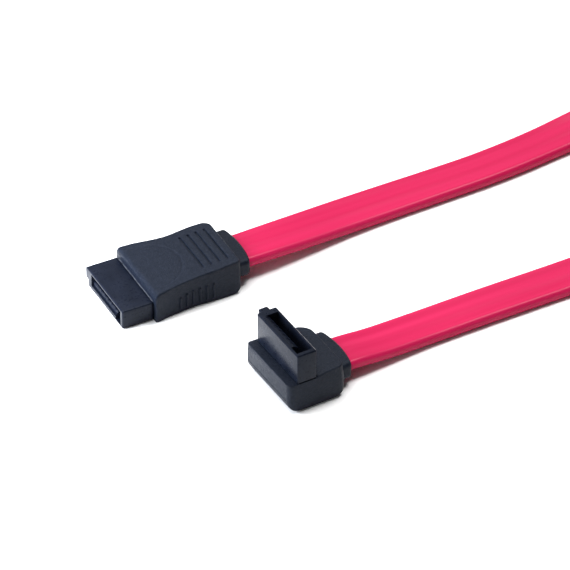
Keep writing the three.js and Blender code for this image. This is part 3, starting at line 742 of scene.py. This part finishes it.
def make_angle_boot():
    # Places close together over the step in its top
    between = np.concatenate([np.arange(1.2, 8.2, 0.35), ANGLE_STEP + np.linspace(-0.04, 0.24, 8)])
    places = rounded_places(ANGLE_LENGTH, ANGLE_TOE, ANGLE_REAR_FAR_CORNER, between, 16)
    across = np.linspace(0, 1, 40)
    up = np.linspace(0, 1, 16)
    rings = []
    for at in places:
        to_rear = ANGLE_LENGTH - at
        near = -curve_through(ANGLE_NEAR, at) + draw_in(at, ANGLE_FRONT_NEAR_CORNER)
        near += draw_in(to_rear, ANGLE_REAR_NEAR_CORNER)
        far = curve_through(ANGLE_FAR, at) - draw_in(at, ANGLE_FRONT_FAR_CORNER)
        far -= draw_in(to_rear, ANGLE_REAR_FAR_CORNER)
        low = draw_in(at, ANGLE_TOE) + draw_in(to_rear, ANGLE_HEEL)
        high = angle_top(at) - draw_in(at, ANGLE_FRONT_EDGE) - draw_in(to_rear, ANGLE_FRONT_EDGE)
        rounder = float(smooth_step(*ANGLE_ROUND_OVER, at))
        top_round = ANGLE_EDGE_ROUND + (ANGLE_TOP_ROUND - ANGLE_EDGE_ROUND) * rounder
        points, _ = section(near, far, low, high, top_round, ANGLE_BOTTOM_ROUND, across, up)
        off = (points[:, 1] - ANGLE_BULGE_HEIGHT) / ANGLE_BULGE_REACH
        bulge = ANGLE_BULGE * np.clip(1 - off ** 2, 0, 1)
        points[:, 0] *= 1 + bulge / ANGLE_HALF
        out = bulge * float(smooth_step(*ANGLE_BULGE_OVER, at))
        rings.append([((ANGLE_FRONT + at + x) * MM, y * MM, z * MM) for (y, z), x in zip(points, out)])
    boot = new_object("angle_boot_skin", lofted_mesh("angle_boot_skin", rings))
    rear = ANGLE_FRONT + ANGLE_LENGTH
    middle = ANGLE_PLUG_CABLE_HEIGHT / MM
    collar = collar_mesh("collar", rear - ANGLE_COLLAR_INSIDE, rear + COLLAR_LENGTH, *ANGLE_COLLAR)
    combine(boot, [collar], "UNION")
    cutters = [
        box_cutter("seat", *ANGLE_SEAT),
        box_cutter("shelf_room", *ANGLE_SHELF_ROOM),
        box_cutter("mould_room", *ANGLE_MOULD_ROOM),
        cable_hole("hole", ANGLE_HOLE_FROM, rear + COLLAR_LENGTH + CUT_PAST, middle),
        box_cutter("parting", ANGLE_FRONT - CUT_PAST, ANGLE_FRONT + PARTING_DEPTH,
                   -PARTING_HALF_WIDTH, PARTING_HALF_WIDTH,
                   PARTING_HEIGHT - PARTING_HALF_HEIGHT, PARTING_HEIGHT + PARTING_HALF_HEIGHT),
    ]
    combine(boot, cutters, "DIFFERENCE")
    boot.data.transform(ANGLE_PLACE)
    smooth_by_angle(boot.data, 32)
    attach(boot, "root")
    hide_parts("angle_boot")
    return boot


# The two noses: the part's own shape with its edges broken and its contact grooves closed
# behind a low lip, in millimetres of depth, width and height over the thick wall
EDGE_BREAK = 0.11 * MM
LIP_FACE = 0.04
LIP_FLOOR = 0.7
LIP_END = 1.35
LIP_BRIM = 0.86
LIP_BRIM_SLOPE = 0.15
LIP_TOP = 1.68
LIP_TOP_DEPTH = 0.5
LIP_TOP_SLOPE = 0.9
LIP_SIDES = (-3.6, 4.9)
STRAIGHT_NOSE_FRONT = -13.8
STRAIGHT_NOSE_FOOT = 0.05
ANGLE_NOSE_TOP = 11.3
LIP_RECESS = (-0.1, 0.4, -3.88, 5.18, 0.9, 1.74)
RIB_CHAMFER = 0.42
RIB_CUTTER = 2.0


def lip_points():
    """The lip's section in depth and height, set back from the nose's own lead-in."""
    brim = LIP_BRIM - LIP_BRIM_SLOPE * LIP_FACE
    top = LIP_TOP - LIP_FACE
    return [(LIP_FACE, LIP_FLOOR), (LIP_FACE, brim), (LIP_TOP_DEPTH + LIP_TOP_SLOPE * LIP_FACE, top),
            (LIP_END, top), (LIP_END, LIP_FLOOR)]


def straight_nose_place(depth, side, height):
    return ((STRAIGHT_NOSE_FRONT + depth) * MM, side * MM, (STRAIGHT_NOSE_FOOT + height) * MM)


def angle_nose_place(depth, side, height):
    return ANGLE_PLACE @ (Vector((height, side, ANGLE_NOSE_TOP - depth)) * MM)


def make_lip(place):
    rings = [[tuple(place(u, side, w)) for u, w in lip_points()] for side in LIP_SIDES]
    return new_object("lip", outward(lofted_mesh("lip", rings)))


def straight_recess():
    """The room just behind the straight nose's low front lip."""
    u0, u1, v0, v1, w0, w1 = LIP_RECESS
    front = STRAIGHT_NOSE_FRONT
    foot = STRAIGHT_NOSE_FOOT
    return box_cutter("recess", front + u0, front + u1, v0, v1, foot + w0, foot + w1)


def rib_corner():
    """Takes the sharp corner off the straight nose's rib, all along it."""
    low, high = (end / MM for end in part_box("straight_housing"))
    half = RIB_CUTTER / 2
    out = (half - RIB_CHAMFER / math.sqrt(2)) / math.sqrt(2)
    centre = Vector((0, high.y + out, high.z + out)) * MM
    turn = Matrix.Translation(centre) @ Matrix.Rotation(math.radians(45), 4, "X")
    return box_cutter("rib_corner", low.x - CUT_PAST, high.x + CUT_PAST, -half, half, -half, half, turn)


def make_housing(node, place, cutters=()):
    mesh = nodes[node].data.copy()
    mesh.name = node + "_skin"
    build = bmesh.new()
    build.from_mesh(mesh)
    bmesh.ops.remove_doubles(build, verts=build.verts, dist=0.0005 * MM)
    bmesh.ops.dissolve_limit(build, angle_limit=math.radians(2), verts=build.verts, edges=build.edges)
    build.to_mesh(mesh)
    build.free()
    obj = new_object(node + "_skin", mesh)
    combine(obj, [make_lip(place)], "UNION")
    if cutters:
        combine(obj, cutters, "DIFFERENCE")
    bevel = obj.modifiers.new("edges", "BEVEL")
    bevel.width = EDGE_BREAK
    bevel.segments = 3
    bevel.limit_method = "ANGLE"
    bevel.angle_limit = math.radians(30)
    bevel.use_clamp_overlap = True
    baked(obj)
    obj.data.materials.clear()
    smooth_by_angle(obj.data, 35)
    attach(obj, "root")
    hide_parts(node)
    return obj


straight_boot = make_straight_boot()
seam = flash_bead()
angle_boot = make_angle_boot()
housings = [
    make_housing("straight_housing", straight_nose_place, [straight_recess(), rib_corner()]),
    make_housing("angle_housing", angle_nose_place),
]


# Finishes
BLACK_GLOSS_TINT = (0.8, 0.87, 1.0)


def new_material(name, color, roughness, specular, metallic=0.0, tint=(1, 1, 1)):
    material = bpy.data.materials.new(name)
    material.use_nodes = True
    shader = material.node_tree.nodes["Principled BSDF"]
    shader.inputs["Base Color"].default_value = (*color, 1)
    shader.inputs["Roughness"].default_value = roughness
    shader.inputs["Specular IOR Level"].default_value = specular
    shader.inputs["Metallic"].default_value = metallic
    shader.inputs["Specular Tint"].default_value = (*tint, 1)
    return material, material.node_tree, shader


def noise(tree, scale, detail, rough=0.5):
    """A noise over the object's own coordinates, in features to the metre."""
    coords = tree.nodes.new("ShaderNodeTexCoord")
    texture = tree.nodes.new("ShaderNodeTexNoise")
    texture.inputs["Scale"].default_value = scale
    texture.inputs["Detail"].default_value = detail
    texture.inputs["Roughness"].default_value = rough
    tree.links.new(coords.outputs["Object"], texture.inputs["Vector"])
    return texture.outputs["Fac"]


def ranged(tree, value, low, high, source=(0.3, 0.7)):
    node = tree.nodes.new("ShaderNodeMapRange")
    tree.links.new(value, node.inputs["Value"])
    node.inputs["From Min"].default_value = source[0]
    node.inputs["From Max"].default_value = source[1]
    node.inputs["To Min"].default_value = low
    node.inputs["To Max"].default_value = high
    return node.outputs["Result"]


def tinted(tree, shader, value, dark, light):
    """Base colour that drifts between two near shades."""
    mix = tree.nodes.new("ShaderNodeMix")
    mix.data_type = "RGBA"
    tree.links.new(value, mix.inputs["Factor"])
    mix.inputs[6].default_value = (*dark, 1)
    mix.inputs[7].default_value = (*light, 1)
    tree.links.new(mix.outputs[2], shader.inputs["Base Color"])


def bumped(tree, shader, heights, strength, distance):
    node = tree.nodes.new("ShaderNodeBump")
    node.inputs["Strength"].default_value = strength
    node.inputs["Distance"].default_value = distance
    tree.links.new(heights, node.inputs["Height"])
    tree.links.new(node.outputs["Normal"], shader.inputs["Normal"])


def boot_material():
    dark, light = (0.003, 0.005, 0.010), (0.010, 0.013, 0.022)
    material, tree, shader = new_material("boot_pvc_matt", (0.010, 0.014, 0.026), 0.4, 0.12,
                                          tint=BLACK_GLOSS_TINT)
    tinted(tree, shader, ranged(tree, noise(tree, 2100, 5, 0.7), 0, 1), dark, light)
    tree.links.new(ranged(tree, noise(tree, 2600, 3), 0.34, 0.46), shader.inputs["Roughness"])
    bumped(tree, shader, noise(tree, 2600, 5, 0.75), 0.9, 0.00012)
    return material


def housing_material():
    dark, light = (0.0035, 0.005, 0.010), (0.006, 0.008, 0.015)
    material, tree, shader = new_material("housing_plastic_satin", (0.008, 0.010, 0.019), 0.3, 0.12,
                                          tint=BLACK_GLOSS_TINT)
    tinted(tree, shader, ranged(tree, noise(tree, 500, 3), 0, 1), dark, light)
    tree.links.new(ranged(tree, noise(tree, 1800, 3), 0.25, 0.36), shader.inputs["Roughness"])
    bumped(tree, shader, noise(tree, 9000, 3), 0.15, 0.00002)
    return material


def jacket_material():
    dark, light = (0.435, 0.0080, 0.059), (0.48, 0.0115, 0.072)
    material, tree, shader = new_material("jacket_pvc_crimson", (0.46, 0.009, 0.065), 0.34, 0.15)
    across = tree.nodes.new("ShaderNodeAttribute")
    across.attribute_name = "across"
    along = tree.nodes.new("ShaderNodeAttribute")
    along.attribute_name = "along"
    place = tree.nodes.new("ShaderNodeCombineXYZ")
    tree.links.new(across.outputs["Fac"], place.inputs["X"])
    tree.links.new(along.outputs["Fac"], place.inputs["Y"])
    mapping = tree.nodes.new("ShaderNodeMapping")
    mapping.inputs["Scale"].default_value = (620, 14, 1)
    tree.links.new(place.outputs["Vector"], mapping.inputs["Vector"])
    streak = tree.nodes.new("ShaderNodeTexNoise")
    streak.inputs["Scale"].default_value = 1.0
    streak.inputs["Detail"].default_value = 2.0
    tree.links.new(mapping.outputs["Vector"], streak.inputs["Vector"])
    tinted(tree, shader, ranged(tree, streak.outputs["Fac"], 0, 1), dark, light)
    tree.links.new(ranged(tree, streak.outputs["Fac"], 0.28, 0.42), shader.inputs["Roughness"])
    bumped(tree, shader, noise(tree, 5200, 3), 0.12, 0.00002)
    return material


def metal_material(name, dark, light, roughness):
    material, tree, shader = new_material(name, light, roughness, 0.5, 1.0)
    tinted(tree, shader, ranged(tree, noise(tree, 1500, 3), 0, 1), dark, light)
    tree.links.new(ranged(tree, noise(tree, 6000, 2), roughness - 0.06, roughness + 0.08),
                   shader.inputs["Roughness"])
    return material


def plain_plastic(name, dark, light, roughness, grain=6000):
    material, tree, shader = new_material(name, light, roughness, 0.45)
    tinted(tree, shader, ranged(tree, noise(tree, 600, 3), 0, 1), dark, light)
    tree.links.new(ranged(tree, noise(tree, 2400, 2), roughness - 0.05, roughness + 0.05),
                   shader.inputs["Roughness"])
    bumped(tree, shader, noise(tree, grain, 3), 0.15, 0.00002)
    return material


def dress(obj, material):
    obj.data.materials.clear()
    obj.data.materials.append(material)


boot_finish = boot_material()
housing_finish = housing_material()
dress(jacket, jacket_material())
for boot in (straight_boot, angle_boot):
    dress(boot, boot_finish)
# The seam bead's lighter base colour is a painted highlight: the bead is the boot's own PVC, lightened to
# stand for the thin line of light it catches.
dress(seam, plain_plastic("boot_seam_painted_highlight", (0.030, 0.034, 0.046), (0.075, 0.082, 0.100), 0.3, 3000))
for housing in housings:
    dress(housing, housing_finish)

gold = metal_material("contact_gold_plated", (0.55, 0.36, 0.10), (0.72, 0.50, 0.17), 0.28)
tin = metal_material("tinned_wire_bright", (0.46, 0.45, 0.43), (0.62, 0.60, 0.57), 0.3)
mould = plain_plastic("inner_mould_natural", (0.70, 0.68, 0.61), (0.80, 0.78, 0.71), 0.55)
insulation = plain_plastic("core_insulation_white", (0.80, 0.79, 0.75), (0.88, 0.87, 0.83), 0.45)
nylon = plain_plastic("tie_nylon_black", (0.012, 0.012, 0.014), (0.018, 0.018, 0.021), 0.45, 3000)
FINISHES = {"_contact_": gold, "_wire_": tin, "_drain_": tin, "_core_": insulation,
            "_inner_mould": mould}
for name, node in nodes.items():
    for word, finish in FINISHES.items():
        if word in name:
            dress(node, finish)
dress(tie, nylon)


# Floor and light: a wide key from above and behind, a narrow top light for the edges, and a
# small card low at the left, under a sky that is bright behind and to the left
FLOOR_HALF = 1.5
FLOOR_DROP = 0.00003
SKY_TOWARDS = (-0.7, 0.7, 0.1)
SKY_BRIGHTNESS = (0.04, 0.95)
SKY_RANGE = (-0.35, 0.75)
KEY_ENERGY = 2.6
KEY_ANGLE = 42
KEY_DIRECTION = (0.06, -0.27, -1)
TOP_ENERGY = 1.7
TOP_ANGLE = 18
TOP_DIRECTION = (-0.36, -0.12, -0.92)
SIDE_PLACE = (-0.062, 0.014, 0.026)
SIDE_TARGET = (0.0, -0.025, 0.003)
SIDE_SIZE = 0.05
SIDE_POWER = 0.2
SIDE_COLOR = (0.88, 0.93, 1.0)


def add_floor():
    mesh = bpy.data.meshes.new("floor")
    corners = [(x * FLOOR_HALF, y * FLOOR_HALF, -FLOOR_DROP)
               for x, y in ((-1, -1), (1, -1), (1, 1), (-1, 1))]
    mesh.from_pydata(corners, [], [(0, 1, 2, 3)])
    floor = new_object("floor", mesh)
    material = bpy.data.materials.new("floor_white")
    material.use_nodes = True
    shader = material.node_tree.nodes["Principled BSDF"]
    shader.inputs["Base Color"].default_value = (0.93, 0.93, 0.93, 1)
    shader.inputs["Roughness"].default_value = 0.9
    shader.inputs["Specular IOR Level"].default_value = 0.1
    mesh.materials.append(material)


def add_sun(name, energy, angle, direction):
    light = bpy.data.lights.new(name, "SUN")
    light.energy = energy
    light.angle = math.radians(angle)
    sun = bpy.data.objects.new(name, light)
    sun.rotation_euler = Vector(direction).to_track_quat("-Z", "Y").to_euler()
    scene.collection.objects.link(sun)


def add_light():
    world = bpy.data.worlds.new("world")
    world.use_nodes = True
    tree = world.node_tree
    coords = tree.nodes.new("ShaderNodeTexCoord")
    towards = tree.nodes.new("ShaderNodeVectorMath")
    towards.operation = "DOT_PRODUCT"
    towards.inputs[1].default_value = SKY_TOWARDS
    tree.links.new(coords.outputs["Generated"], towards.inputs[0])
    brightness = ranged(tree, towards.outputs["Value"], *SKY_BRIGHTNESS, SKY_RANGE)
    tree.links.new(brightness, tree.nodes["Background"].inputs["Strength"])
    tree.nodes["Background"].inputs["Color"].default_value = (1, 1, 1, 1)
    scene.world = world
    add_sun("key", KEY_ENERGY, KEY_ANGLE, KEY_DIRECTION)
    add_sun("top", TOP_ENERGY, TOP_ANGLE, TOP_DIRECTION)
    card = bpy.data.lights.new("side", "AREA")
    card.shape = "SQUARE"
    card.size = SIDE_SIZE
    card.energy = SIDE_POWER
    card.color = SIDE_COLOR
    side = bpy.data.objects.new("side", card)
    side.location = SIDE_PLACE
    side.rotation_euler = (Vector(SIDE_TARGET) - Vector(SIDE_PLACE)).to_track_quat("-Z", "Y").to_euler()
    side.visible_camera = False
    side.visible_glossy = False
    scene.collection.objects.link(side)
    scene.view_settings.view_transform = "Standard"


add_floor()
add_light()
